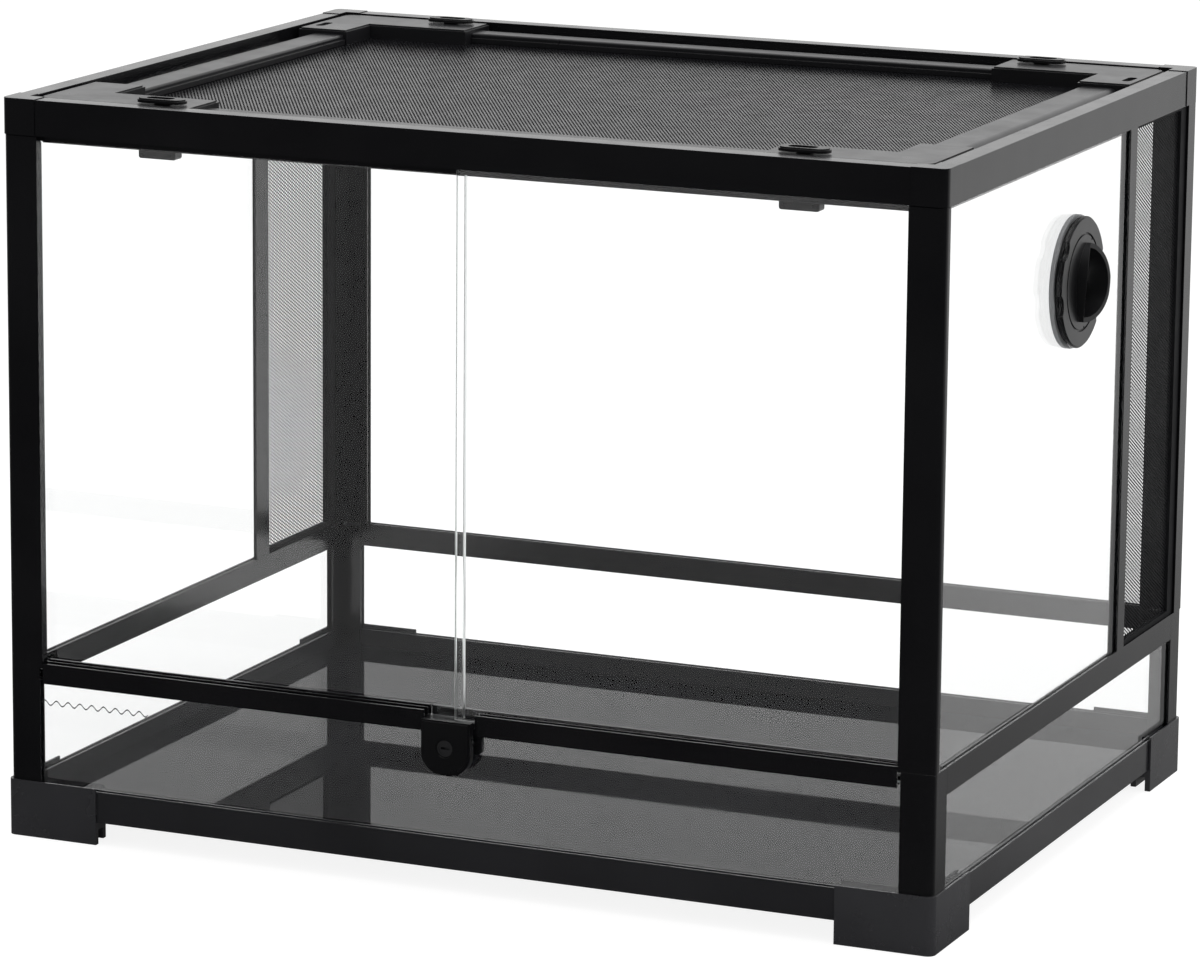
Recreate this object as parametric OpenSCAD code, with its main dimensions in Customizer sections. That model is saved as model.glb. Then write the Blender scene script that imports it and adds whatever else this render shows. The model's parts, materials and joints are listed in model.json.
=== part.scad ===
// Knock-down glass reptile terrarium with two sliding doors and a lift-off screen cover.
// Millimetres, +Z up, front towards -Y, origin on the ground under the middle of the tank.

/* [Overall] */
// Width of the frame over its side faces
frame_w = 607; // [480:1:900]
// Depth of the frame over its front and back faces
frame_d = 457; // [420:1:600]
// Height from the ground to the top flange
frame_h = 460; // [460:1:600]

/* [Levels] */
// Height of the feet's outer walls
foot_h = 35.5; // [34:0.5:50]
// Height of the seam between the lower tank and the upper housing
seam_z = 108; // [104:1:160]
// Height of the top frame's outer face
top_h = 22; // [20:1:26]

/* [Glass] */
// Thickness of the fixed panes
pane_t = 4; // [3:0.1:4]
// Thickness of the sliding doors
door_t = 3.5; // [3:0.1:3.5]
// How far the closed doors overlap in the middle
door_overlap = 4; // [3:0.5:30]

/* [Posts] */
// Width of the upper front posts
front_post_w = 23; // [20:1:30]
// Width of the lower posts
lower_post_w = 21; // [19:1:24]
// Leg of the upper back posts along the back
back_post_w = 26; // [22:1:30]
// Leg of the upper back posts along the sides
back_post_side = 15.5; // [14:0.5:20]

/* [Vents] */
// Width of the bar between the side pane and the vent mesh
mullion_w = 13; // [12:1:20]
// Distance of that bar's rear edge from the back face
vent_w = 117.5; // [90:0.5:150]

/* [Feet] */
// Length of each leg of a foot
foot_leg = 60; // [45:1:80]
// How far the feet stand proud of the frame
foot_proud = 1.5; // [1:0.5:4]

/* [Cable port] */
// Place of the port's axis along the side, from the middle
port_y = -4.5; // [-60:0.5:20]
// Height of the port's axis
port_z = 360; // [250:1:370]
// Radius of the port's clear hole in the glass
port_hole_r = 28; // [28:0.5:30]
// Lean of the port's mouth
port_lean = -12; // [-30:1:0]

/* [Lock] */
// Place of the lock's centre across the front
lock_x = -4.5; // [-40:0.5:40]
// Width of the lock's plate
lock_w = 32; // [28:1:36]

/* [Screen cover] */
// Distance of the latches from the middle, across
latch_x = 207.5; // [195:0.5:215]
// Length of a latch's toe
toe_l = 25; // [22:0.5:25]

/* [Hidden] */
$fn = 64;
skin = 1.4;          // outer wall of every extrusion
fit = 0.2;           // clearance of a pane or a part in its groove
rail_d = 12.2;       // depth of the top rails and the door rail
bar_d = 7.2;         // depth of the posts' side flanges
post_r = 4.5;        // outer corner radius of the posts
foot_in = 11.5;      // depth of the feet under the base rails
pane_in = 1.6;       // inset of a fixed pane from the frame's face
bed_in = pane_in + pane_t + fit;   // inset of the wall behind a fixed pane
front_door_in = 1.7;
rear_door_in = 6.8;
track_rib_in = 5.5;  // inset of the rib between the two tracks
rail_inner_t = 1.6;

base_z = 14;         // underside of the base rails
base_top = 33.5;
floor_z = 18;        // web that carries the floor pane
mid_z = 91.5;        // underside of the side and back mid rails
mid_top = seam_z;
mid_web_z = seam_z - 5.4;
mid_web_t = 3;
door_rail_z = seam_z - 10;
door_rail_top = seam_z + 3.6;
track_z = seam_z - 2;             // floor of the door tracks
top_z = frame_h - top_h;          // underside of the top rails' faces
hook_z = top_z - 5;               // lower edge of the top rails' inner wall
ceiling_z = top_z + 5;            // web above the panes and doors
ledge_z = frame_h - 12;           // shelf that carries the cover
ledge_w = 5.5;
corner_l = 22;                    // leg of a top corner piece
corner_proud = 0.5;
half_w = frame_w / 2;
half_d = frame_d / 2;

door_z = track_z + fit;
door_top = top_z - 0.4;
door_end_in = 9;                  // where a closed door's outer edge stands
right_door_edge = -2;
left_door_edge = right_door_edge + door_overlap;

lower_pane_z = floor_z + fit;
lower_pane_top = seam_z - 7;
upper_pane_z = seam_z - 2.2;
upper_pane_top = ceiling_z - 1.2;
pane_edge_in = 8;                 // where a pane's edge stands inside a post
mullion_y = half_d - vent_w;      // rear edge of the mullion

glass_x = half_w - pane_in;       // outer face of the side panes
port_gasket_r = 40.5;
port_bore_r = 23.5;
port_window_r = 17.5;
gasket_t = 2.5;
port_flange_x = glass_x + gasket_t;
port_cap_x = port_flange_x + 2.2;
port_cap_t = 3;
port_collar_h = 9.5;
port_end_x = glass_x - pane_t - 2;
shutter_x = port_end_x + 0.2;     // fixed half-moon disc
shutter_t = 1.6;
hub_x = shutter_x + shutter_t + 0.3;
clip_t = 1.1;
clip_x = glass_x - pane_t - 0.05 - clip_t;
hub_r = port_bore_r - 0.05;
hub_bore_r = hub_r - 1.6;

lock_z = seam_z - 18;             // axis of the key barrel
lock_front = -half_d - 6.1;
lock_back = -half_d - fit;
barrel_r = 5;
cam_y = lock_back + 0.1;            // front of the barrel's cam

cover_z = ledge_z + 0.05;
cover_top = frame_h - 0.6;
cover_rail_top = frame_h - 3.6;
cover_in = 15;                    // inset of the corner plates from the frame
cover_rail_in = 22.5;
cover_side_w = 25.5;
cover_long_w = 20.5;
cover_arm_x = 104.5;              // length of a corner's arm across
cover_arm_y = 73.8;               // length of a corner's arm along the side
cover_arm_w = 38;
cover_arm_side_w = 35;
mesh_t = 0.8;
mesh_z = cover_z + 1.2;
grid_n = 12;                      // openings across and along
grid_m = 8;
grid_bar = 3;
latch_y = half_d - 24.5;
shaft_r = 3.2;
toe_top = hook_z - 0.4;
toe_h = 6.1;
knob_z = frame_h + 0.4;

// ---- placing ----

// A rectangle from one corner to the other.
module box2(x0, y0, x1, y1) {
    translate([x0, y0]) square([x1 - x0, y1 - y0]);
}

// A profile drawn as (inset from the face, height), run along the front.
module run_front(length) {
    translate([-length / 2, -half_d, 0]) rotate([90, 0, 90]) linear_extrude(length) children();
}

module run_back(length) {
    mirror([0, 1, 0]) run_front(length) children();
}

module run_left(length) {
    translate([-half_w, length / 2, 0]) rotate([90, 0, 0]) linear_extrude(length) children();
}

module run_right(length) {
    mirror([1, 0, 0]) run_left(length) children();
}

// Geometry drawn with its corner at the front left, moved to the corner on sides sx and sy.
module at_corner(sx, sy) {
    if (sx < 0 && sy < 0) translate([-half_w, -half_d, 0]) children();
    if (sx > 0 && sy < 0) mirror([1, 0, 0]) translate([-half_w, -half_d, 0]) children();
    if (sx < 0 && sy > 0) mirror([0, 1, 0]) translate([-half_w, -half_d, 0]) children();
    if (sx > 0 && sy > 0) rotate([0, 0, 180]) translate([-half_w, -half_d, 0]) children();
}

// An outline extruded from z0 to z1.
module slab(z0, z1) {
    translate([0, 0, z0]) linear_extrude(z1 - z0) children();
}

// A square with a round lower left corner.
module round_corner_square(x0, y0, x1, y1, r) {
    difference() {
        box2(x0, y0, x1, y1);
        difference() {
            box2(x0 - 1, y0 - 1, x0 + r, y0 + r);
            translate([x0 + r, y0 + r]) circle(r);
        }
    }
}

// A bar with two round ends, from x0 to x1 along X.
module stadium(x0, x1, r) {
    translate([x0 + r, 0]) circle(r);
    translate([x1 - r, 0]) circle(r);
    box2(x0 + r, -r, x1 - r, r);
}

// ---- feet ----

module foot_outline(leg, width, r) {
    round_corner_square(-foot_proud, -foot_proud, leg, width, r);
    box2(-foot_proud, r, width, leg);
}

module foot(sx, sy) {
    color("#141416") at_corner(sx, sy) {
        difference() {
            slab(0, base_z - 0.1) foot_outline(foot_leg, foot_in, 5);
            // open channels on the underside, and inner walls that stop short of the ground
            slab(-1, 9) box2(21, 2, foot_leg + 1, 8);
            slab(-1, 9) box2(2, 21, 8, foot_leg + 1);
            slab(-1, 2) box2(21, 7, foot_leg + 1, foot_in + 1);
            slab(-1, 2) box2(7, 21, foot_in + 1, foot_leg + 1);
        }
        // outer walls round the frame's corner
        slab(base_z - 0.1, foot_h) difference() {
            foot_outline(foot_leg, foot_in, 5);
            round_corner_square(-0.1, -0.1, foot_leg + 1, foot_leg + 1, post_r + 0.1);
        }
    }
}

// ---- lower tank ----

module base_profile() {
    box2(0, base_z, skin, base_top);
    box2(0, floor_z - 2, 15, floor_z);
    box2(13.6, base_z, 15, floor_z);
    box2(bed_in, floor_z - 2, bed_in + skin, base_top);
}

base_run_x = frame_w - 2 * (lower_post_w + fit);
base_run_y = frame_d - 2 * (lower_post_w + fit);

module floor_glass() {
    inset = bed_in + skin + 0.4;
    color("#5a5c60") slab(floor_z + 0.1, floor_z + 0.1 + pane_t)
        square([frame_w - 2 * inset, frame_d - 2 * inset], center = true);
}

// Two nested angles joined in the corner: a pane slides in between them on each side.
module double_angle(leg_a, leg_b, inner_z) {
    box2(0, 0, leg_a, skin);
    box2(0, 0, skin, leg_b);
    box2(bed_in, bed_in, leg_a, bed_in + skin);
    box2(bed_in, bed_in, bed_in + skin, leg_b);
    box2(skin, skin, bed_in + skin, bed_in + skin);
}

module soft_corner(r, proud = 0) {
    intersection() {
        children();
        round_corner_square(-proud, -proud, 60, 60, r);
    }
}

// Wall that follows the inside of a round outer corner.
module corner_wall() {
    difference() {
        square(post_r);
        translate([post_r, post_r]) circle(post_r - skin);
    }
}

module lower_post(sx, sy) {
    color("#121214") at_corner(sx, sy) {
        slab(base_z, seam_z - 2.5)
            soft_corner(post_r) double_angle(lower_post_w, lower_post_w);
        slab(seam_z - 2.5, seam_z - 0.1) soft_corner(post_r) {
            box2(0, 0, lower_post_w, skin);
            box2(0, 0, skin, lower_post_w);
            corner_wall();
        }
    }
}

// A fixed pane with ground edges, drawn as (inset, position) and stood up.
module pane_plan(inset, thick, p0, p1) {
    e = 0.5;
    polygon([
        [inset, p0 + e], [inset + e, p0], [inset + thick - e, p0], [inset + thick, p0 + e],
        [inset + thick, p1 - e], [inset + thick - e, p1], [inset + e, p1], [inset, p1 - e]
    ]);
}

module pane_x(side, x0, x1, z0, z1, inset, thick) {
    slab(z0, z1) mirror([0, side > 0 ? 1 : 0]) translate([0, -half_d])
        mirror([1, -1]) pane_plan(inset, thick, x0, x1);
}

module pane_y(side, y0, y1, z0, z1) {
    slab(z0, z1) mirror([side > 0 ? 1 : 0, 0]) translate([-half_w, 0])
        pane_plan(pane_in, pane_t, y0, y1);
}

lower_pane_x = half_w - pane_edge_in;
lower_pane_y = half_d - pane_edge_in;

module lower_glass_x(side) {
    color("#dfe8ea", 0.35)
        pane_x(side, -lower_pane_x, lower_pane_x, lower_pane_z, lower_pane_top, pane_in, pane_t);
}

module lower_glass_y(side) {
    color("#dfe8ea", 0.35) pane_y(side, -lower_pane_y, lower_pane_y, lower_pane_z, lower_pane_top);
}

// ---- mid rails ----

// An H: the lower pane stands in its lower groove and the upper pane in its upper one.
module mid_profile() {
    box2(0, mid_z, skin, mid_top);
    box2(bed_in, mid_z + 1, bed_in + skin, mid_top);
    box2(0, mid_web_z, bed_in + skin, mid_web_z + mid_web_t);
}

// The front rail has two tracks on top and the groove for the lower pane below.
module door_rail_profile() {
    box2(0, door_rail_z, skin, door_rail_top - 1);
    box2(0, track_z - 1.6, rail_d, track_z);
    box2(track_rib_in, track_z, track_rib_in + 1, door_rail_top - 0.6);
    box2(rail_d - rail_inner_t, door_rail_z + 2, rail_d, door_rail_top);
    box2(bed_in, door_rail_z + 1, bed_in + 1.2, track_z);
}

module door_rail() {
    color("#101012") difference() {
        run_front(frame_w - 2 * (front_post_w + fit)) door_rail_profile();
        // seat of the lock's bridge, below the doors
        translate([lock_x - lock_w / 2 - 0.8, -half_d - 1, track_z - 3.8])
            cube([lock_w + 1.6, rail_d + 2, 12]);
    }
}

// ---- upper housing ----

module front_post_plan(lip) {
    box2(0, 0, front_post_w, skin);
    box2(0, 0, skin, bar_d);
    corner_wall();
    box2(bed_in, 0, bed_in + skin, rail_d);
    box2(bed_in, rail_d - rail_inner_t, 14, rail_d);
    box2(front_post_w - skin, 0, front_post_w, lip);
}

module soft_post() {
    intersection() {
        union() children();
        slab(0, frame_h) round_corner_square(0, 0, 60, 60, post_r);
    }
}

module upper_post_front(sx) {
    // a lip closes the unused front track beside the left door
    lip = sx < 0 ? track_rib_in + 0.9 : skin;
    color("#0e0e10") at_corner(sx, -1) difference() {
        soft_post() {
            slab(seam_z, hook_z + 1) front_post_plan(lip);
            slab(hook_z + 1, top_z) front_post_plan(min(lip, track_rib_in - 0.2));
        }
        // chamfers under the top corner's seam
        translate([0, 0, top_z]) rotate([45, 0, 0]) cube([80, 1, 1], center = true);
        translate([0, 0, top_z]) rotate([0, 45, 0]) cube([1, 80, 1], center = true);
    }
}

module upper_post_back(sx) {
    color("#0e0e10") at_corner(sx, 1)
        slab(seam_z, top_z) soft_corner(2.5) double_angle(back_post_w, back_post_side);
}

module back_glass() {
    color("#e4ecee", 0.3) pane_x(1, -lower_pane_x, lower_pane_x,
        upper_pane_z, upper_pane_top, pane_in, pane_t);
}

side_pane_front = -half_d + 4;
side_pane_back = mullion_y - mullion_w / 2 - 1.3;

module side_glass(side) {
    color("#e4ecee", 0.3) difference() {
        pane_y(side, side_pane_front, side_pane_back, upper_pane_z, upper_pane_top);
        if (side > 0) along_port(glass_x - pane_t - 1, glass_x + 1) circle(port_hole_r);
    }
}

// An I-section: the side pane stands in its front groove, the vent mesh in its rear one.
module vent_mullion(side) {
    color("#141416") slab(mid_top + 0.1, top_z) mirror([side > 0 ? 1 : 0, 0]) {
        translate([-half_w, mullion_y - mullion_w]) {
            square([skin, mullion_w]);
            translate([bed_in, -5.5]) square([skin, mullion_w + 5.5]);
            translate([0, mullion_w / 2 - 0.7]) square([bed_in + skin, 1.4]);
        }
    }
}

mesh_front = mullion_y - mullion_w / 2 + 1.3;
mesh_back = half_d - pane_edge_in;

// The vent's fine mesh sheet in its flat binding.
module vent_mesh(side) {
    color("#202022") mirror([side > 0 ? 1 : 0, 0, 0]) translate([-half_w, 0, 0]) {
        slab(upper_pane_z, upper_pane_top) {
            box2(pane_in, mesh_front, pane_in + pane_t, mesh_front + 7);
            box2(pane_in, mesh_back - 18, pane_in + pane_t, mesh_back);
            box2(3.2, mesh_front, 3.2 + mesh_t, mesh_back);
        }
        slab(upper_pane_z, mid_top + 3) box2(pane_in, mesh_front, pane_in + pane_t, mesh_back);
        slab(top_z - 2, upper_pane_top) box2(pane_in, mesh_front, pane_in + pane_t, mesh_back);
    }
}

// ---- top frame ----

module top_profile() {
    box2(0, top_z, skin, frame_h);
    box2(0, frame_h - 1.8, rail_d, frame_h);
    box2(rail_d - rail_inner_t, hook_z, rail_d, frame_h);
    box2(0, ceiling_z, rail_d, ceiling_z + 1.6);
    box2(rail_d, ledge_z - 2, rail_d + ledge_w, ledge_z);
}

module top_front_profile() {
    top_profile();
    box2(track_rib_in, hook_z + 1.5, track_rib_in + 1, ceiling_z);
}

module top_fixed_profile() {
    top_profile();
    box2(bed_in, top_z + 0.2, bed_in + 1.2, ceiling_z);
}

top_run_x = frame_w - 2 * (corner_l + 0.1);
top_run_y = frame_d - 2 * (corner_l + 0.1);

module top_corner(sx, sy) {
    color("#131315") at_corner(sx, sy) {
        difference() {
            slab(top_z + 0.1, frame_h + 0.4) soft_corner(post_r, corner_proud) {
                box2(-corner_proud, -corner_proud, corner_l, rail_d);
                box2(-corner_proud, -corner_proud, rail_d, corner_l);
            }
            // room for the panes' corners
            slab(top_z - 1, upper_pane_top + 0.3)
                round_corner_square(skin, skin, corner_l + 1, corner_l + 1, post_r - skin);
        }
        // plugs that hold the rails
        translate([0, 0, ceiling_z + 1.8]) {
            translate([rail_d, skin + fit, 0])
                cube([corner_l - rail_d + 14, rail_d - skin - rail_inner_t - 2 * fit, 12]);
            translate([skin + fit, rail_d, 0])
                cube([rail_d - skin - rail_inner_t - 2 * fit, corner_l - rail_d + 14, 12]);
        }
        // short shelf that carries on the ledge
        slab(ledge_z - 2, ledge_z) {
            box2(rail_d, rail_d, corner_l, rail_d + ledge_w);
            box2(rail_d, rail_d, rail_d + ledge_w, corner_l);
        }
    }
}

// ---- cable port ----

// An outline in the port's own plane, extruded along its axis between two places in X.
module along_port(x0, x1) {
    translate([x0, port_y, port_z]) rotate([port_lean, 0, 0]) rotate([90, 0, 90])
        linear_extrude(x1 - x0) children();
}

// The almond outline of the mouth: two arcs that meet in tips above and below the axis.
module almond(tip, front, rear) {
    front_c = (tip * tip - front * front) / (2 * front);
    rear_c = (tip * tip - rear * rear) / (2 * rear);
    intersection() {
        translate([front_c, 0]) circle(front_c + front, $fn = 96);
        translate([-rear_c, 0]) circle(rear_c + rear, $fn = 96);
    }
}

module half_moon() {
    intersection() {
        circle(port_window_r);
        box2(0.75, -port_window_r, port_window_r + 1, port_window_r);
    }
}

module port_gasket() {
    color("#c9ced0", 0.8) along_port(glass_x, port_flange_x) difference() {
        circle(port_gasket_r);
        circle(port_hole_r);
    }
}

module port_body() {
    color("#17181a") {
        difference() {
            union() {
                along_port(port_flange_x, port_flange_x + 2) circle(port_gasket_r - 3);
                along_port(port_end_x, port_flange_x) circle(port_hole_r - 0.2);
            }
            along_port(port_end_x - 1, port_flange_x + 3) circle(port_bore_r);
            // groove of the retaining ring
            along_port(clip_x - 0.05, clip_x + clip_t + 0.05) difference() {
                circle(port_hole_r + 1);
                circle(port_hole_r - 1.5);
            }
        }
        // fixed half of the shutter
        along_port(shutter_x, shutter_x + shutter_t) difference() {
            circle(port_bore_r + 0.5);
            half_moon();
        }
    }
}

// Split ring that snaps into the body's groove behind the pane.
module port_clip() {
    color("#17181a") along_port(clip_x, clip_x + clip_t) difference() {
        circle(port_hole_r + 1.8);
        circle(port_hole_r - 1.4);
        translate([0, -2.5]) square([port_hole_r + 5, 5]);
    }
}

module port_cap() {
    plate_end = port_cap_x + port_cap_t;
    color("#1a1b1e") {
        // hand-turned ring with two grip lobes between its notches
        along_port(port_cap_x, plate_end - 1) difference() {
            port_ring_plan(0);
            almond(21, 9.5, 20.5);
        }
        along_port(plate_end - 1, plate_end) difference() {
            port_ring_plan(1);
            almond(21, 9.5, 20.5);
            difference() {
                circle(30);
                circle(28.6);
            }
            for (s = [-1, 1]) translate([9, 27 * s]) circle(1.1, $fn = 24);
        }
        // mouth with lips that stand out fore and aft and dip at its tips
        difference() {
            along_port(plate_end, plate_end + port_collar_h) difference() {
                almond(24, 12, 23);
                almond(21, 9.5, 20.5);
            }
            translate([plate_end + 2.5, port_y, port_z]) rotate([port_lean, 0, 0])
                rotate([0, 0, 90]) translate([0, 0, -30]) linear_extrude(60)
                    polygon([[0, 0], [-40, -12.5], [40, -12.5]]);
        }
        // hub that turns in the body's bore, closed by the moving half of the shutter
        difference() {
            along_port(hub_x, port_cap_x) circle(hub_r);
            along_port(hub_x + shutter_t, port_cap_x + 1) circle(hub_bore_r);
            along_port(hub_x - 1, hub_x + shutter_t + 1) half_moon();
        }
    }
}

module port_ring_plan(step) {
    difference() {
        circle(port_gasket_r - 0.7 - step);
        for (a = [-25, 25, 155, 205]) rotate([0, 0, a]) translate([44.5, 0]) circle(8 + step);
    }
}

// ---- sliding doors ----

module door_left() {
    color("#e8f0f2", 0.25)
        pane_x(-1, -half_w + door_end_in, left_door_edge, door_z, door_top, rear_door_in, door_t);
}

module door_right() {
    color("#e8f0f2", 0.25)
        pane_x(-1, right_door_edge, half_w - door_end_in, door_z, door_top, front_door_in, door_t);
}

// ---- lock ----

// Front plate of the lock, drawn as (x, z): straight sides and a round bottom.
module lock_outline(inset) {
    w = lock_w / 2 - inset;
    top = seam_z - 1.5 - inset;
    bottom = seam_z - 34.5 + inset;
    r = 13;
    translate([lock_x - w + r, bottom + r]) circle(r);
    translate([lock_x + w - r, bottom + r]) circle(r);
    translate([lock_x - w + r, bottom]) square([2 * (w - r), r]);
    translate([lock_x - w, bottom + r]) square([2 * w, top - bottom - r]);
}

module lock_slab(y0, y1) {
    translate([0, y1, 0]) rotate([90, 0, 0]) linear_extrude(y1 - y0) children();
}

module lock_case() {
    color("#101011") {
        difference() {
            union() {
                lock_slab(lock_front, lock_front + 1) lock_outline(1);
                lock_slab(lock_front + 1, lock_back) lock_outline(0);
            }
            translate([lock_x, lock_back + 1, lock_z]) rotate([90, 0, 0])
                cylinder(h = 10, r = barrel_r + 0.05);
            // dished seat round the key barrel
            translate([lock_x, lock_front + 0.4, lock_z]) rotate([90, 0, 0])
                cylinder(h = 2, r = barrel_r + 0.9);
        }
        // bridge under the doors and the leg behind the rail
        translate([lock_x - lock_w / 2 - 0.5, lock_back - 0.1, track_z - 3.6])
            cube([lock_w + 1, rail_d + 3.6, 3.3]);
        lock_slab(-half_d + rail_d + fit, -half_d + rail_d + 3.4) {
            translate([lock_x - lock_w / 2 - 0.5, seam_z - 20]) square([lock_w + 1, 23]);
            translate([0, seam_z - 21]) stadium(lock_x - lock_w / 2 - 0.5, lock_x + lock_w / 2 + 0.5, 3.5);
        }
    }
}

module lock_barrel() {
    color("#8c8e92") {
        difference() {
            translate([lock_x, cam_y, lock_z]) rotate([90, 0, 0])
                cylinder(h = cam_y - lock_front - 0.3, r = barrel_r);
            // dished face and keyway
            translate([lock_x, lock_front + 0.7, lock_z]) rotate([90, 0, 0])
                cylinder(h = 2, r = barrel_r - 0.9);
            translate([lock_x - 2.8, lock_front - 1, lock_z - 0.7]) cube([5.6, 4.5, 1.4]);
        }
        // cam that swings up under the rail
        lock_slab(cam_y, cam_y + 1.2) translate([lock_x, lock_z]) stadium(-7.6, 3, 3);
    }
}

// ---- screen cover ----

// Hollow rail with a crowned outer shoulder, drawn as (inset, height).
module cover_rail_profile(width) {
    u1 = cover_rail_in + width;
    difference() {
        cover_rail_outline(width, 0);
        cover_rail_outline(width, 1.6);
    }
    // step over the mesh's edge and lip under it
    box2(u1 - 1.6, mesh_z + mesh_t + 0.05, u1 + 1.2, cover_rail_top - 3.1);
    box2(u1 - 1.6, cover_z, u1 + 5, mesh_z - 0.05);
}

module cover_rail_outline(width, shrink) {
    r = 6 - shrink;
    u0 = cover_rail_in + shrink;
    u1 = cover_rail_in + width - shrink;
    z0 = shrink > 0 ? cover_z - 1 : cover_z;
    z1 = cover_rail_top - shrink;
    intersection() {
        translate([u0 + r, z1 - r]) circle(r);
        box2(u0, z1 - r, u1, z1);
    }
    box2(u0, z0, u1 - 1.5, z1 - r);
    box2(u0 + r, z0, u1 - 1.5, z1);
    box2(u0 + r, z0, u1, z1 - 1.5);
    translate([u1 - 1.5, z1 - 1.5]) circle(1.5);
}

module cover_rails_long() {
    length = frame_w - 2 * (cover_in + cover_arm_x + 0.1);
    color("#2a2b2e") {
        run_front(length) cover_rail_profile(cover_long_w);
        run_back(length) cover_rail_profile(cover_long_w);
    }
}

module cover_rails_side() {
    length = frame_d - 2 * (cover_in + cover_arm_y + 0.1);
    color("#2a2b2e") {
        run_left(length) cover_rail_profile(cover_side_w);
        run_right(length) cover_rail_profile(cover_side_w);
    }
}

// Angle-shaped corner plate with a wider arm across than along.
module cover_corner_plan(inset) {
    x0 = cover_in + inset;
    x1 = cover_in + cover_arm_x - inset;
    y1 = cover_in + cover_arm_y - inset;
    round_corner_square(x0, x0, x1, cover_in + cover_arm_w - inset, 9 - inset);
    box2(x0, x0 + 9, cover_in + cover_arm_side_w - inset, y1);
}

module cover_corner(sx, sy) {
    color("#26272a") at_corner(sx, sy) {
        difference() {
            union() {
                slab(cover_z, cover_top - 1) cover_corner_plan(0);
                slab(cover_top - 1, cover_top) cover_corner_plan(1.2);
            }
            // bore of the latch
            translate([half_w - latch_x, half_d - latch_y, cover_z - 1])
                cylinder(h = 20, r = shaft_r + 0.05);
            // finger slot in the outer edge of the back corners
            if (sy > 0) translate([cover_in + 8, cover_in + 52, cover_top - 1.5]) rotate([0, 0, 90])
                linear_extrude(3) stadium(-9, 9, 3);
        }
        // plugs inside the hollow rails
        translate([cover_in + cover_arm_x - 2, cover_rail_in + 6.2, cover_z + 0.2]) cube([14, 11, 6.3]);
        translate([cover_rail_in + 6.2, cover_in + cover_arm_y - 2, cover_z + 0.2]) cube([15, 14, 6.3]);
    }
}

// The sheet reaches into the rails' grooves and stops short of the corner plates.
module cover_mesh_plan() {
    rail_x = half_w - cover_rail_in - cover_side_w - 0.15;
    rail_y = half_d - cover_rail_in - cover_long_w - 0.15;
    arm_x = half_w - cover_in - cover_arm_x - 0.2;
    arm_y = half_d - cover_in - cover_arm_y - 0.2;
    plate_x = half_w - cover_in - cover_arm_side_w - 0.2;
    plate_y = half_d - cover_in - cover_arm_w - 0.2;
    box2(-arm_x, -rail_y, arm_x, rail_y);
    box2(-rail_x, -arm_y, rail_x, arm_y);
    box2(-plate_x, -plate_y, plate_x, plate_y);
}

module cover_mesh() {
    grid_w = 2 * (half_w - cover_in - cover_arm_side_w - 5) / grid_n;
    grid_d = 2 * (half_d - cover_in - cover_arm_w - 3) / grid_m;
    color("#1c1c1e") slab(mesh_z, mesh_z + mesh_t) difference() {
        cover_mesh_plan();
        for (i = [0 : grid_n - 1], j = [0 : grid_m - 1])
            translate([(i - (grid_n - 1) / 2) * grid_w, (j - (grid_m - 1) / 2) * grid_d])
                square([grid_w - grid_bar, grid_d - grid_bar], center = true);
    }
}

// ---- latches ----

// Hanging toe drawn as (x, z), with soft lower corners.
module toe_outline() {
    x0 = -toe_l / 2 - 1.1;
    x1 = toe_l / 2 - 1.1;
    bottom = toe_top - toe_h;
    box2(x0, bottom + 1.5, x1, toe_top);
    box2(x0 + 1.5, bottom, x1 - 1.5, toe_top);
    translate([x0 + 1.5, bottom + 1.5]) circle(1.5);
    translate([x1 - 1.5, bottom + 1.5]) circle(1.5);
}

// Turn-button drawn for the front: its toe swings outwards under the front rail.
module latch_shape() {
    difference() {
        union() {
            slab(knob_z, knob_z + 1.7) stadium(-16, 16, 6.5);
            slab(knob_z + 1.7, knob_z + 2.6) stadium(-15.1, 15.1, 5.6);
        }
        // finger dish
        slab(knob_z + 1.2, knob_z + 4) stadium(-10, 8, 3.8);
    }
    slab(cover_top + 0.1, knob_z) circle(5);
    slab(toe_top - 1, knob_z) circle(shaft_r);
    difference() {
        translate([0, 4, 0]) rotate([90, 0, 0]) linear_extrude(8) toe_outline();
        for (x = [-10, 8]) translate([x, -3.5, toe_top - 2.6]) rotate([90, 0, 0])
            cylinder(h = 2, r = 1, $fn = 24);
    }
}

module latch(sx, sy) {
    color("#161618") translate([sx * latch_x, sy * latch_y, 0])
        rotate([0, 0, sy > 0 ? 180 : 0]) latch_shape();
}

foot(-1, -1);  // foot_front_left
foot(1, -1);  // foot_front_right
foot(-1, 1);  // foot_back_left
foot(1, 1);  // foot_back_right
color("#141416") run_front(base_run_x) base_profile();  // base_rail_front
color("#141416") run_back(base_run_x) base_profile();  // base_rail_back
color("#141416") run_left(base_run_y) base_profile();  // base_rail_left
color("#141416") run_right(base_run_y) base_profile();  // base_rail_right
floor_glass();
lower_glass_x(-1);  // lower_glass_front
lower_glass_x(1);  // lower_glass_back
lower_glass_y(-1);  // lower_glass_left
lower_glass_y(1);  // lower_glass_right
lower_post(-1, -1);  // lower_post_front_left
lower_post(1, -1);  // lower_post_front_right
lower_post(-1, 1);  // lower_post_back_left
lower_post(1, 1);  // lower_post_back_right
door_rail();
color("#131315") run_back(base_run_x) mid_profile();  // mid_rail_back
color("#131315") run_left(base_run_y) mid_profile();  // mid_rail_left
color("#131315") run_right(base_run_y) mid_profile();  // mid_rail_right
upper_post_front(-1);  // upper_post_front_left
upper_post_front(1);  // upper_post_front_right
upper_post_back(-1);  // upper_post_back_left
upper_post_back(1);  // upper_post_back_right
back_glass();
side_glass(-1);  // side_glass_left
side_glass(1);  // side_glass_right
vent_mullion(-1);  // vent_mullion_left
vent_mullion(1);  // vent_mullion_right
vent_mesh(-1);  // vent_mesh_left
vent_mesh(1);  // vent_mesh_right
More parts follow.
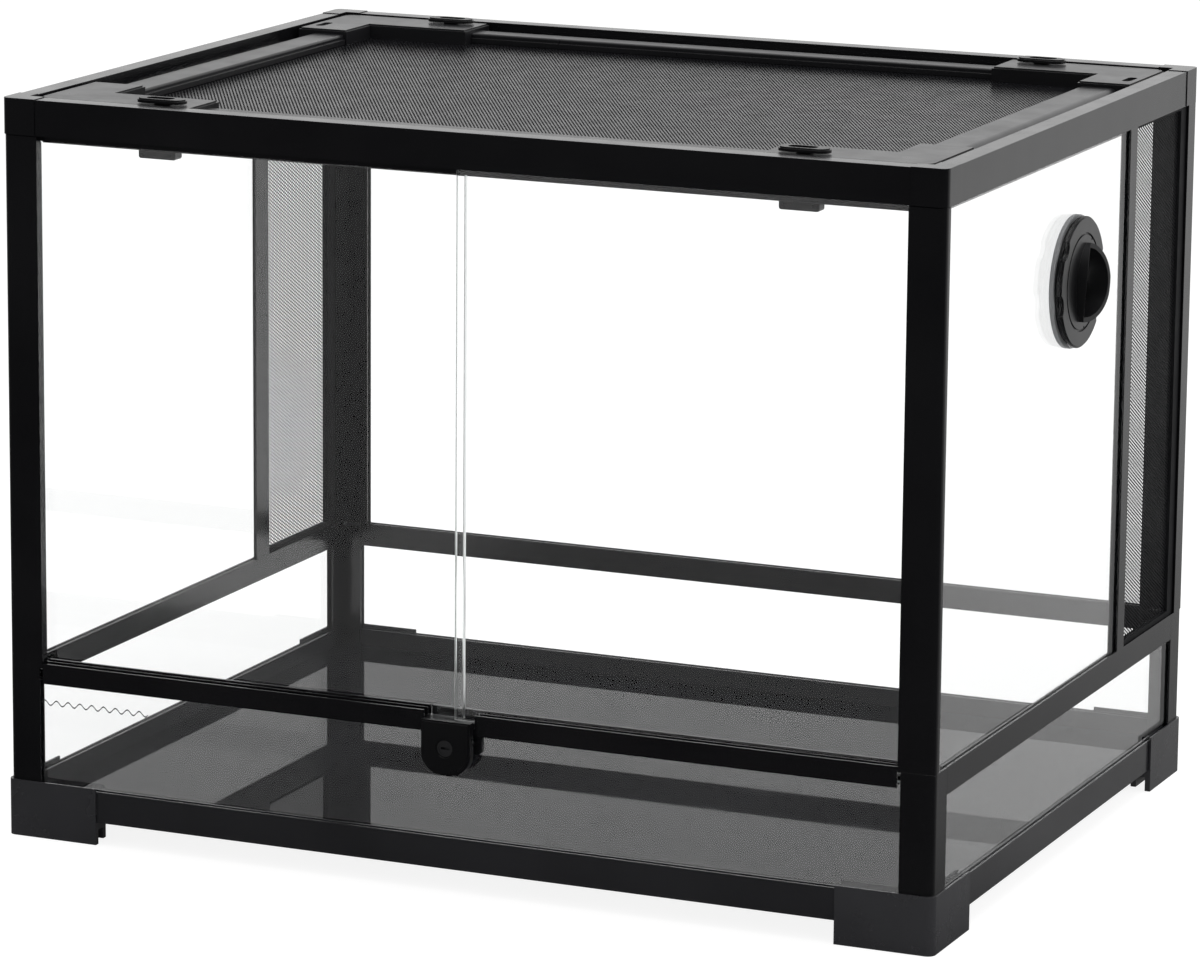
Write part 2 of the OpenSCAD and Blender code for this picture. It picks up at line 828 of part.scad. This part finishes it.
color("#111113") run_front(top_run_x) top_front_profile();  // top_rail_front
color("#111113") run_back(top_run_x) top_fixed_profile();  // top_rail_back
color("#111113") run_left(top_run_y) top_fixed_profile();  // top_rail_left
color("#111113") run_right(top_run_y) top_fixed_profile();  // top_rail_right
top_corner(-1, -1);  // top_corner_front_left
top_corner(1, -1);  // top_corner_front_right
top_corner(-1, 1);  // top_corner_back_left
top_corner(1, 1);  // top_corner_back_right
port_gasket();
port_body();
port_clip();
port_cap();
door_left();
door_right();
lock_case();
lock_barrel();
cover_rails_long();
cover_rails_side();
cover_corner(-1, -1);  // cover_corner_front_left
cover_corner(1, -1);  // cover_corner_front_right
cover_corner(-1, 1);  // cover_corner_back_left
cover_corner(1, 1);  // cover_corner_back_right
cover_mesh();
latch(-1, -1);  // latch_front_left
latch(1, -1);  // latch_front_right
latch(-1, 1);  // latch_back_left
latch(1, 1);  // latch_back_right
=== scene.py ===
import json
import math

import bpy
from mathutils import Matrix, Vector


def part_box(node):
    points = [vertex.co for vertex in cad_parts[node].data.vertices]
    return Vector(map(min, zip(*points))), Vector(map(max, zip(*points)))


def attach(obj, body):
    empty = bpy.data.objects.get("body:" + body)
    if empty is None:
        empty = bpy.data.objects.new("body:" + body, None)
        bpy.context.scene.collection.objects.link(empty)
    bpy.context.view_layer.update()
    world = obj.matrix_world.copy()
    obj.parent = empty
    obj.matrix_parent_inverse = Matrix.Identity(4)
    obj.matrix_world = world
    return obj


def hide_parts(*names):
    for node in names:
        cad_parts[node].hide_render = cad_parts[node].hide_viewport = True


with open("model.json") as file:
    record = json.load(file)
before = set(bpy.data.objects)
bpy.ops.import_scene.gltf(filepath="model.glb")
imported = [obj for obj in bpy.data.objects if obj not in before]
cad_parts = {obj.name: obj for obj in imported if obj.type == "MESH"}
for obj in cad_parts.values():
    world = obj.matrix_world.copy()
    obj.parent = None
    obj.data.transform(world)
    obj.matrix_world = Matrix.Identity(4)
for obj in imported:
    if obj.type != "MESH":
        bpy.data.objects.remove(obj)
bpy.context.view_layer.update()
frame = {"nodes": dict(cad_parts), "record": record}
MM = 0.001

# ---- camera: fitted to the tank's corners, for a picture of 1200 x 969 ----

PICTURE_W = 1200.0
FOCAL_PX = 5676.0
AZIMUTH, ELEVATION, ROLL = 23.579, 11.707, 0.508
DISTANCE = 3.55757
TARGET = Vector((-0.00788, 0.0, 0.24304))
SHIFT_Y = -0.05


def add_camera():
    a, e, r = (math.radians(v) for v in (AZIMUTH, ELEVATION, ROLL))
    back = Vector((math.sin(a) * math.cos(e), -math.cos(a) * math.cos(e), math.sin(e)))
    right = Vector((math.cos(a), math.sin(a), 0))
    up = back.cross(right)
    right, up = (
        right * math.cos(r) + up * math.sin(r),
        up * math.cos(r) - right * math.sin(r),
    )
    data = bpy.data.cameras.new("camera")
    data.sensor_width = 36.0
    data.lens = FOCAL_PX / PICTURE_W * data.sensor_width
    data.shift_y = SHIFT_Y
    data.clip_start, data.clip_end = 0.1, 200.0
    cam = bpy.data.objects.new("camera", data)
    bpy.context.scene.collection.objects.link(cam)
    turn = Matrix((right, up, back)).transposed().to_4x4()
    cam.matrix_world = Matrix.Translation(TARGET + back * DISTANCE) @ turn
    bpy.context.scene.camera = cam


add_camera()

# ---- node helpers ----


class Nodes:
    """A small wrapper: makes a node, sets its inputs, and links sockets given as inputs."""

    def __init__(self, tree):
        self.tree = tree
        tree.nodes.clear()

    def add(self, kind, settings=None, **inputs):
        n = self.tree.nodes.new(kind)
        for k, v in (settings or {}).items():
            setattr(n, k, v)
        for k, v in inputs.items():
            self.put(n.inputs[k.replace("_", " ")], v)
        return n

    def put(self, socket, value):
        if isinstance(value, bpy.types.NodeSocket):
            self.tree.links.new(value, socket)
        else:
            socket.default_value = value

    def math(self, op, a, b=0.0, clamp=False):
        n = self.tree.nodes.new("ShaderNodeMath")
        n.operation, n.use_clamp = op, clamp
        self.put(n.inputs[0], a)
        self.put(n.inputs[1], b)
        return n.outputs[0]

    def remap(self, value, a, b, lo, hi):
        n = self.add("ShaderNodeMapRange", Value=value)
        for i, v in enumerate((a, b, lo, hi)):
            n.inputs[1 + i].default_value = v
        return n.outputs[0]

    def blend(self, fac, a, b):
        n = self.tree.nodes.new("ShaderNodeMix")
        n.data_type = "RGBA"
        self.put(n.inputs[0], fac)
        self.put(n.inputs[6], a)
        self.put(n.inputs[7], b)
        return n.outputs[2]

    def noise(self, scale, detail=2.0, rough=0.5, vector=None):
        n = self.add("ShaderNodeTexNoise", Scale=scale, Detail=detail, Roughness=rough)
        if vector is None:
            vector = self.coords()
        self.put(n.inputs["Vector"], vector)
        return n.outputs[0]

    def coords(self):
        return self.add("ShaderNodeTexCoord").outputs["Object"]

    def surface(self, shader):
        out = self.add("ShaderNodeOutputMaterial")
        self.tree.links.new(shader, out.inputs["Surface"])


def new_material(name):
    m = bpy.data.materials.new(name)
    m.use_nodes = True
    return m, Nodes(m.node_tree)


def rgb(r, g, b):
    return (r, g, b, 1.0)


PLASTIC_IOR = 1.42
GLASS_IOR = 1.32  # below real glass, for the faint reflections of the photograph
LAMP_SHADOW = (0.91, 0.92, 0.92)


def plastic(name, dark, light, rough, grain=900.0, grain_h=0.00002, edge=0.0005):
    """Moulded or extruded plastic: a fine grain, soft edges, and slow changes of colour and gloss."""
    m, n = new_material(name)
    slow = n.noise(9.0, 3.0)
    colour = n.blend(n.remap(slow, 0.3, 0.7, 0.0, 1.0), rgb(*dark), rgb(*light))
    shine = n.remap(n.noise(38.0, 4.0, 0.6), 0.25, 0.75, rough - 0.04, rough + 0.05)
    soft = n.add("ShaderNodeBevel", {"samples": 4}, Radius=edge)
    bump = n.add(
        "ShaderNodeBump",
        Strength=0.35,
        Distance=grain_h,
        Height=n.noise(grain, 2.0),
        Normal=soft.outputs[0],
    )
    p = n.add(
        "ShaderNodeBsdfPrincipled",
        Base_Color=colour,
        Roughness=shine,
        IOR=PLASTIC_IOR,
        Normal=bump.outputs[0],
    )
    n.surface(p.outputs[0])
    return m


def glass(name, axis, tint, edge_tint):
    """A flat pane whose faces look along axis, with faint wipe marks and ground edges.

    Its shadow is that of a clear sheet, so that the lamps reach what stands behind it.
    """
    m, n = new_material(name)
    normal = n.add("ShaderNodeSeparateXYZ", Vector=n.add("ShaderNodeNewGeometry").outputs["True Normal"])
    face = n.math("ABSOLUTE", normal.outputs["XYZ".index(axis)])
    edge = n.math("LESS_THAN", face, 0.9)
    colour = n.blend(edge, rgb(*tint), rgb(*edge_tint))
    wipe = n.remap(n.noise(5.0, 4.0, 0.6), 0.45, 0.8, 0.0, 0.012)
    p = n.add(
        "ShaderNodeBsdfPrincipled",
        Base_Color=colour,
        Roughness=n.math("ADD", wipe, n.math("MULTIPLY", edge, 0.3)),
        IOR=GLASS_IOR,
        Transmission_Weight=1.0,
    )
    lamps = n.add("ShaderNodeBsdfTransparent", Color=rgb(*LAMP_SHADOW))
    mix = n.add("ShaderNodeMixShader")
    n.put(mix.inputs[0], n.add("ShaderNodeLightPath").outputs["Is Shadow Ray"])
    n.put(mix.inputs[1], p.outputs[0])
    n.put(mix.inputs[2], lamps.outputs[0])
    n.surface(mix.outputs[0])
    return m


def painted_sheet(name, satin):
    """Black powder coat on the perforated sheets, satin on the cover and matte in the vents."""
    m, n = new_material(name)
    colour = n.blend(n.noise(25.0, 3.0), rgb(0.006, 0.006, 0.007), rgb(0.014, 0.014, 0.016))
    bump = n.add("ShaderNodeBump", Strength=0.3, Distance=0.00002, Height=n.noise(2500.0, 2.0))
    p = n.add("ShaderNodeBsdfPrincipled", Base_Color=colour, Normal=bump.outputs[0])
    if satin:
        n.put(p.inputs["Roughness"], n.remap(n.noise(60.0, 3.0), 0.3, 0.7, 0.2, 0.28))
        n.put(p.inputs["IOR"], 1.65)
        n.put(p.inputs["Specular IOR Level"], 0.1)
    else:
        n.put(p.inputs["Roughness"], n.remap(n.noise(60.0, 3.0), 0.3, 0.7, 0.6, 0.7))
        n.put(p.inputs["Specular IOR Level"], 0.15)
    n.surface(p.outputs[0])
    return m


def floor_pane(name):
    """Dark polished floor pane with faint dust and wipe marks."""
    m, n = new_material(name)
    dust = n.remap(n.noise(14.0, 6.0, 0.7), 0.45, 0.75, 0.0, 1.0)
    colour = n.blend(dust, rgb(0.003, 0.003, 0.004), rgb(0.008, 0.008, 0.01))
    p = n.add(
        "ShaderNodeBsdfPrincipled",
        Base_Color=colour,
        Roughness=n.remap(dust, 0.0, 1.0, 0.015, 0.05),
        IOR=1.15,
        Specular_Tint=rgb(0.93, 0.96, 1.0),
    )
    n.surface(p.outputs[0])
    return m


def silicone(name):
    """Soft, cloudy, slightly clear ring."""
    m, n = new_material(name)
    colour = n.blend(n.noise(40.0, 3.0), rgb(0.42, 0.43, 0.44), rgb(0.52, 0.53, 0.54))
    p = n.add(
        "ShaderNodeBsdfPrincipled",
        Base_Color=colour,
        Roughness=n.remap(n.noise(80.0, 3.0), 0.3, 0.7, 0.3, 0.42),
        Transmission_Weight=0.3,
        IOR=1.41,
    )
    n.surface(p.outputs[0])
    return m


def plated(name):
    """Bright plated metal with fine turning marks."""
    m, n = new_material(name)
    stretch = n.add("ShaderNodeMapping", Vector=n.coords(), Scale=(400.0, 60.0, 4000.0))
    marks = n.noise(1.0, 4.0, 0.6, stretch.outputs[0])
    bump = n.add("ShaderNodeBump", Strength=0.2, Distance=0.00003, Height=marks)
    p = n.add(
        "ShaderNodeBsdfPrincipled",
        Base_Color=n.blend(marks, rgb(0.2, 0.2, 0.21), rgb(0.3, 0.3, 0.31)),
        Metallic=1.0,
        Roughness=n.remap(marks, 0.3, 0.7, 0.14, 0.24),
        Normal=bump.outputs[0],
    )
    n.surface(p.outputs[0])
    return m


def ink(name):
    """Matte printing ink."""
    m, n = new_material(name)
    p = n.add(
        "ShaderNodeBsdfPrincipled",
        Base_Color=n.blend(n.noise(200.0, 2.0), rgb(0.01, 0.01, 0.01), rgb(0.03, 0.03, 0.03)),
        Roughness=n.remap(n.noise(300.0), 0.3, 0.7, 0.4, 0.55),
    )
    n.surface(p.outputs[0])
    return m


MATS = {
    "frame_plastic": plastic("frame_plastic", (0.004, 0.004, 0.005), (0.008, 0.008, 0.009), 0.2),
    "base_plastic": plastic("base_plastic", (0.03, 0.03, 0.033), (0.044, 0.044, 0.048), 0.26, 700.0, 0.00004),
    "cover_plastic": plastic("cover_plastic", (0.009, 0.009, 0.01), (0.015, 0.015, 0.017), 0.3),
    "latch_plastic": plastic("latch_plastic", (0.006, 0.006, 0.007), (0.011, 0.011, 0.012), 0.32),
    "lock_plastic": plastic("lock_plastic", (0.004, 0.004, 0.005), (0.007, 0.007, 0.008), 0.28),
    "port_plastic": plastic("port_plastic", (0.006, 0.006, 0.007), (0.012, 0.012, 0.013), 0.3, edge=0.0004),
    "clear_silicone": silicone("clear_silicone"),
    "lock_metal": plated("lock_metal"),
    "black_mesh": painted_sheet("black_mesh", True),
    "floor_glass": floor_pane("floor_glass"),
}
MESH_MATTE = painted_sheet("black_mesh_matte", False)
BASE_RAIL = plastic("base_rail_plastic", (0.018, 0.018, 0.02), (0.026, 0.026, 0.029), 0.22)
GLASS_TINT = (0.99, 0.993, 0.992)
GLASS_EDGE = (0.8, 0.88, 0.87)
GLASS_X = glass("pane_glass_side", "X", GLASS_TINT, GLASS_EDGE)
GLASS_Y = glass("pane_glass_front", "Y", GLASS_TINT, GLASS_EDGE)
DOOR_GLASS = glass("door_glass", "Y", (0.993, 0.996, 0.995), (0.9, 0.95, 0.94))

for sub in frame["record"]["subparts"]:
    node, slot = sub["node"], sub["material_slot"]
    if slot == "pane_glass":
        mat = GLASS_X if ("left" in node or "right" in node) else GLASS_Y
    elif slot == "door_glass":
        mat = DOOR_GLASS
    elif node.startswith("base_rail"):
        mat = BASE_RAIL
    else:
        mat = MATS[slot]
    obj = frame["nodes"][node]
    obj.data.materials.clear()
    obj.data.materials.append(mat)

# ---- mesh building ----


class Shape:
    """Collects boxes and prisms, in millimetres, and turns them into one object in metres."""

    def __init__(self):
        self.verts, self.faces = [], []

    def prism(self, bottom, top):
        """A closed solid between two rings of points that run the same way round."""
        k, n = len(self.verts), len(bottom)
        self.verts += list(bottom) + list(top)
        self.faces.append([k + i for i in reversed(range(n))])
        self.faces.append([k + n + i for i in range(n)])
        for i in range(n):
            j = (i + 1) % n
            self.faces.append([k + i, k + j, k + n + j, k + n + i])

    def box(self, lo, hi):
        (x0, y0, z0), (x1, y1, z1) = lo, hi
        ring = ((x0, y0), (x1, y0), (x1, y1), (x0, y1))
        self.prism([(x, y, z0) for x, y in ring], [(x, y, z1) for x, y in ring])

    def make(self, name, material, body):
        mesh = bpy.data.meshes.new(name)
        mesh.from_pydata([Vector(v) * MM for v in self.verts], [], self.faces)
        mesh.update()
        mesh.materials.append(material)
        o = bpy.data.objects.new(name, mesh)
        bpy.context.scene.collection.objects.link(o)
        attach(o, body)
        return o


# ---- perforated sheets: three families of fine bands leave staggered holes ----

PITCH = 2.33  # distance of neighbouring holes, in mm
ROW = PITCH * math.sqrt(3) / 2
# each family's top and foot lie this much below the next one's, so that no two faces coincide
FAMILY_TOP, FAMILY_FOOT = 0.04, 0.01
SHORTEST_BAND = 1.0


def clip_line(px, py, dx, dy, u0, u1, v0, v1):
    """The stretch of a line inside a rectangle, as two distances along it, or None."""
    lo, hi = -1e9, 1e9
    for p, d, a, b in ((px, dx, u0, u1), (py, dy, v0, v1)):
        if abs(d) < 1e-9:
            if not a <= p <= b:
                return None
        else:
            s, t = sorted(((a - p) / d, (b - p) / d))
            lo, hi = max(lo, s), min(hi, t)
    return (lo, hi) if hi - lo > SHORTEST_BAND else None


def perforated(shape, u0, u1, v0, v1, top, thick, place, widths, turn=0.0):
    """Adds the bands of a sheet whose plane coordinates are (u, v); place maps (u, v, w) to space."""
    cu, cv = (u0 + u1) / 2, (v0 + v1) / 2
    reach = math.hypot(u1 - u0, v1 - v0) / 2
    rows = int(reach / ROW) + 2
    for family in range(3):
        a = math.radians(turn + 60 * family)
        dx, dy = math.cos(a), math.sin(a)
        nx, ny = -dy, dx
        w0, w1 = top - thick + FAMILY_FOOT * family, top - FAMILY_TOP * (2 - family)
        half = widths[family] / 2
        for k in range(-rows, rows):
            off = (k + 0.5) * ROW
            px, py = cu + nx * off, cv + ny * off
            span = clip_line(px, py, dx, dy, u0, u1, v0, v1)
            if span is None:
                continue
            ring = []
            for s, side in ((span[0], -1), (span[1], -1), (span[1], 1), (span[0], 1)):
                ring.append((px + dx * s + nx * side * half, py + dy * s + ny * side * half))
            shape.prism([place(u, v, w0) for u, v in ring], [place(u, v, w1) for u, v in ring])


def mm_box(node):
    """The corners of a node's box, in millimetres."""
    lo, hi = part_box(node)
    return [v / MM for v in lo], [v / MM for v in hi]


def add_cover_mesh():
    lo, hi = mm_box("cover_mesh")
    s = Shape()
    top = hi[2] - 0.2
    thick, widths = 0.6, (0.25, 0.25, 0.9)

    def flat(u, v, w):
        return u, v, w

    # the field inside the corner plates, and the strips between them along each side
    plate_x, plate_y = 253.0, 175.0
    arm_x, arm_y = 183.5, 139.2
    perforated(s, -plate_x, plate_x, -plate_y, plate_y, top, thick, flat, widths)
    for sy in (-1, 1):
        v0, v1 = sorted((sy * plate_y, sy * (hi[1] - 0.3)))
        perforated(s, -arm_x, arm_x, v0, v1, top, thick, flat, widths)
    rim, below = 1.2, 0.05  # solid edge, a little below the frame's top
    for y0, y1 in ((lo[1], lo[1] + rim), (hi[1] - rim, hi[1])):
        s.box((-arm_x, y0, lo[2]), (arm_x, y1, hi[2] - below))
    for x0, x1 in ((lo[0], lo[0] + rim), (hi[0] - rim, hi[0])):
        s.box((x0, -arm_y, lo[2]), (x1, arm_y, hi[2] - below))
    o = s.make("cover_screen", MATS["black_mesh"], "cover")
    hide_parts("cover_mesh")


def add_vent_mesh(name):
    node = "vent_mesh_" + name
    lo, hi = mm_box(node)
    s = Shape()
    x_mid = (lo[0] + hi[0]) / 2
    inset, top, thick, widths, turn = 2, 0.1, 0.2, (0.3, 0.6, 0.3), 90.0
    u0, u1 = lo[1] + inset, hi[1] - inset
    v0, v1 = lo[2] + inset, hi[2] - inset
    perforated(s, u0, u1, v0, v1, top, thick, lambda u, v, w: (x_mid + w, u, v), widths, turn)
    # closed margins round the field
    front, rear, low, high = 7.0, 18.0, 5.2, 5.8
    s.box((lo[0], lo[1], lo[2]), (hi[0], lo[1] + front, hi[2]))
    s.box((lo[0], hi[1] - rear, lo[2]), (hi[0], hi[1], hi[2]))
    s.box((lo[0], lo[1] + front, lo[2]), (hi[0], hi[1] - rear, lo[2] + low))
    s.box((lo[0], lo[1] + front, hi[2] - high), (hi[0], hi[1] - rear, hi[2]))
    o = s.make("vent_screen_" + name, MESH_MATTE, "cabinet")
    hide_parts(node)


add_cover_mesh()
add_vent_mesh("left")
add_vent_mesh("right")

# ---- wavy fill line printed on the lower front pane ----

INK = ink("fill_line_ink")


def add_fill_line():
    x0, x1, z, waves, height, width = -282.0, -208.0, 86.0, 9, 1.5, 0.8
    off, ink_t = 0.05, 0.04  # distance from the pane and thickness
    y = mm_box("lower_glass_front")[0][1]
    steps = waves * 16  # points per wave
    s = Shape()
    pts = []
    for i in range(steps + 1):
        t = i / steps
        pts.append((x0 + (x1 - x0) * t, z + height * math.sin(2 * math.pi * waves * t)))
    k = 0
    for i, (x, h) in enumerate(pts):
        s.verts += [(x, y - off, h - width / 2), (x, y - off, h + width / 2)]
        if i:
            s.faces.append([k - 2, k, k + 1, k - 1])
        k += 2
    o = s.make("fill_line", INK, "cabinet")
    t = o.modifiers.new("ink", "SOLIDIFY")
    t.thickness, t.offset = ink_t * MM, 0.0


add_fill_line()

# ---- floor, world and lamps ----


FLOOR_HALF = 60.0
FLOOR_DROP = 0.0003
FLOOR_COLOUR = 0.82
BACKDROP_COLOUR, BACKDROP_GLOW = 0.3, 0.88  # what the camera sees: white that keeps the shadow
WORLD_FILL = 0.55


def grey(v):
    return rgb(v, v, v)


def add_floor():
    """White ground; gloss sees it dark in front of the tank and light behind it."""
    m, n = new_material("floor")
    path = n.add("ShaderNodeLightPath")
    seen = n.math("MAXIMUM", path.outputs["Is Camera Ray"], path.outputs["Is Transmission Ray"])
    place = n.add("ShaderNodeSeparateXYZ", Vector=n.coords())
    near = n.remap(place.outputs["Y"], -0.25, 0.05, 0.05, 0.3)
    sweep = n.math("ADD", near, n.remap(place.outputs["Y"], 0.2, 1.6, 0.0, 0.5))
    soft = n.add("ShaderNodeBsdfDiffuse", Color=grey(FLOOR_COLOUR))
    faint = n.add("ShaderNodeBsdfDiffuse", Color=grey(BACKDROP_COLOUR))
    lift = n.add("ShaderNodeEmission", Color=grey(1), Strength=BACKDROP_GLOW)
    white = n.add("ShaderNodeAddShader")
    n.put(white.inputs[0], faint.outputs[0])
    n.put(white.inputs[1], lift.outputs[0])
    mirror = n.add("ShaderNodeEmission", Color=grey(1), Strength=sweep)
    plain = n.add("ShaderNodeMixShader")
    n.put(plain.inputs[0], seen)
    n.put(plain.inputs[1], soft.outputs[0])
    n.put(plain.inputs[2], white.outputs[0])
    mix = n.add("ShaderNodeMixShader")
    # a ray that goes through glass counts as glossy too, so those are taken off
    glossy, through = path.outputs["Is Glossy Ray"], path.outputs["Is Transmission Ray"]
    n.put(mix.inputs[0], n.math("SUBTRACT", glossy, through, clamp=True))
    n.put(mix.inputs[1], plain.outputs[0])
    n.put(mix.inputs[2], mirror.outputs[0])
    n.surface(mix.outputs[0])
    mesh = bpy.data.meshes.new("floor")
    r = FLOOR_HALF
    mesh.from_pydata([(-r, -r, 0), (r, -r, 0), (r, r, 0), (-r, r, 0)], [], [(0, 1, 2, 3)])
    mesh.materials.append(m)
    o = bpy.data.objects.new("floor", mesh)
    bpy.context.scene.collection.objects.link(o)
    o.location.z = -FLOOR_DROP


def add_world():
    """White for the camera and through glass; gloss sees a light sky and a light back."""
    w = bpy.data.worlds.new("studio")
    bpy.context.scene.world = w
    w.use_nodes = True
    n = Nodes(w.node_tree)
    path = n.add("ShaderNodeLightPath")
    seen = n.math("MAXIMUM", path.outputs["Is Camera Ray"], path.outputs["Is Transmission Ray"])
    way = n.add("ShaderNodeSeparateXYZ", Vector=n.add("ShaderNodeTexCoord").outputs["Generated"])
    behind = n.remap(way.outputs["Y"], 0.6, 0.85, 0.08, 1.0)
    above = n.remap(way.outputs["Z"], 0.5, 0.9, 0.0, 0.6)
    gloss = n.math("MAXIMUM", behind, above)
    level = n.add("ShaderNodeMix", {"data_type": "FLOAT"})
    n.put(level.inputs[0], path.outputs["Is Glossy Ray"])
    n.put(level.inputs[2], WORLD_FILL)
    n.put(level.inputs[3], gloss)
    strength = n.math("MAXIMUM", seen, level.outputs[0])
    bg = n.add("ShaderNodeBackground", Color=grey(1), Strength=strength)
    out = n.add("ShaderNodeOutputWorld")
    n.put(out.inputs["Surface"], bg.outputs[0])


def add_lamp(name, place, target, size, watts):
    """A rectangular lamp at place that points at target."""
    data = bpy.data.lights.new(name, "AREA")
    data.shape, data.size, data.size_y, data.energy = "RECTANGLE", size[0], size[1], watts
    o = bpy.data.objects.new(name, data)
    bpy.context.scene.collection.objects.link(o)
    aim = Vector(target) - Vector(place)
    o.matrix_world = Matrix.Translation(place) @ aim.to_track_quat("-Z", "Y").to_matrix().to_4x4()


add_floor()
add_world()
add_lamp("top_box", (0.2, 0.3, 2.6), (0, 0, 0.2), (2.6, 2.2), 34.0)
add_lamp("side_box", (2.6, 0.9, 1.3), (0, 0, 0.25), (1.8, 1.8), 12.0)

bpy.context.scene.view_settings.view_transform = "Standard"
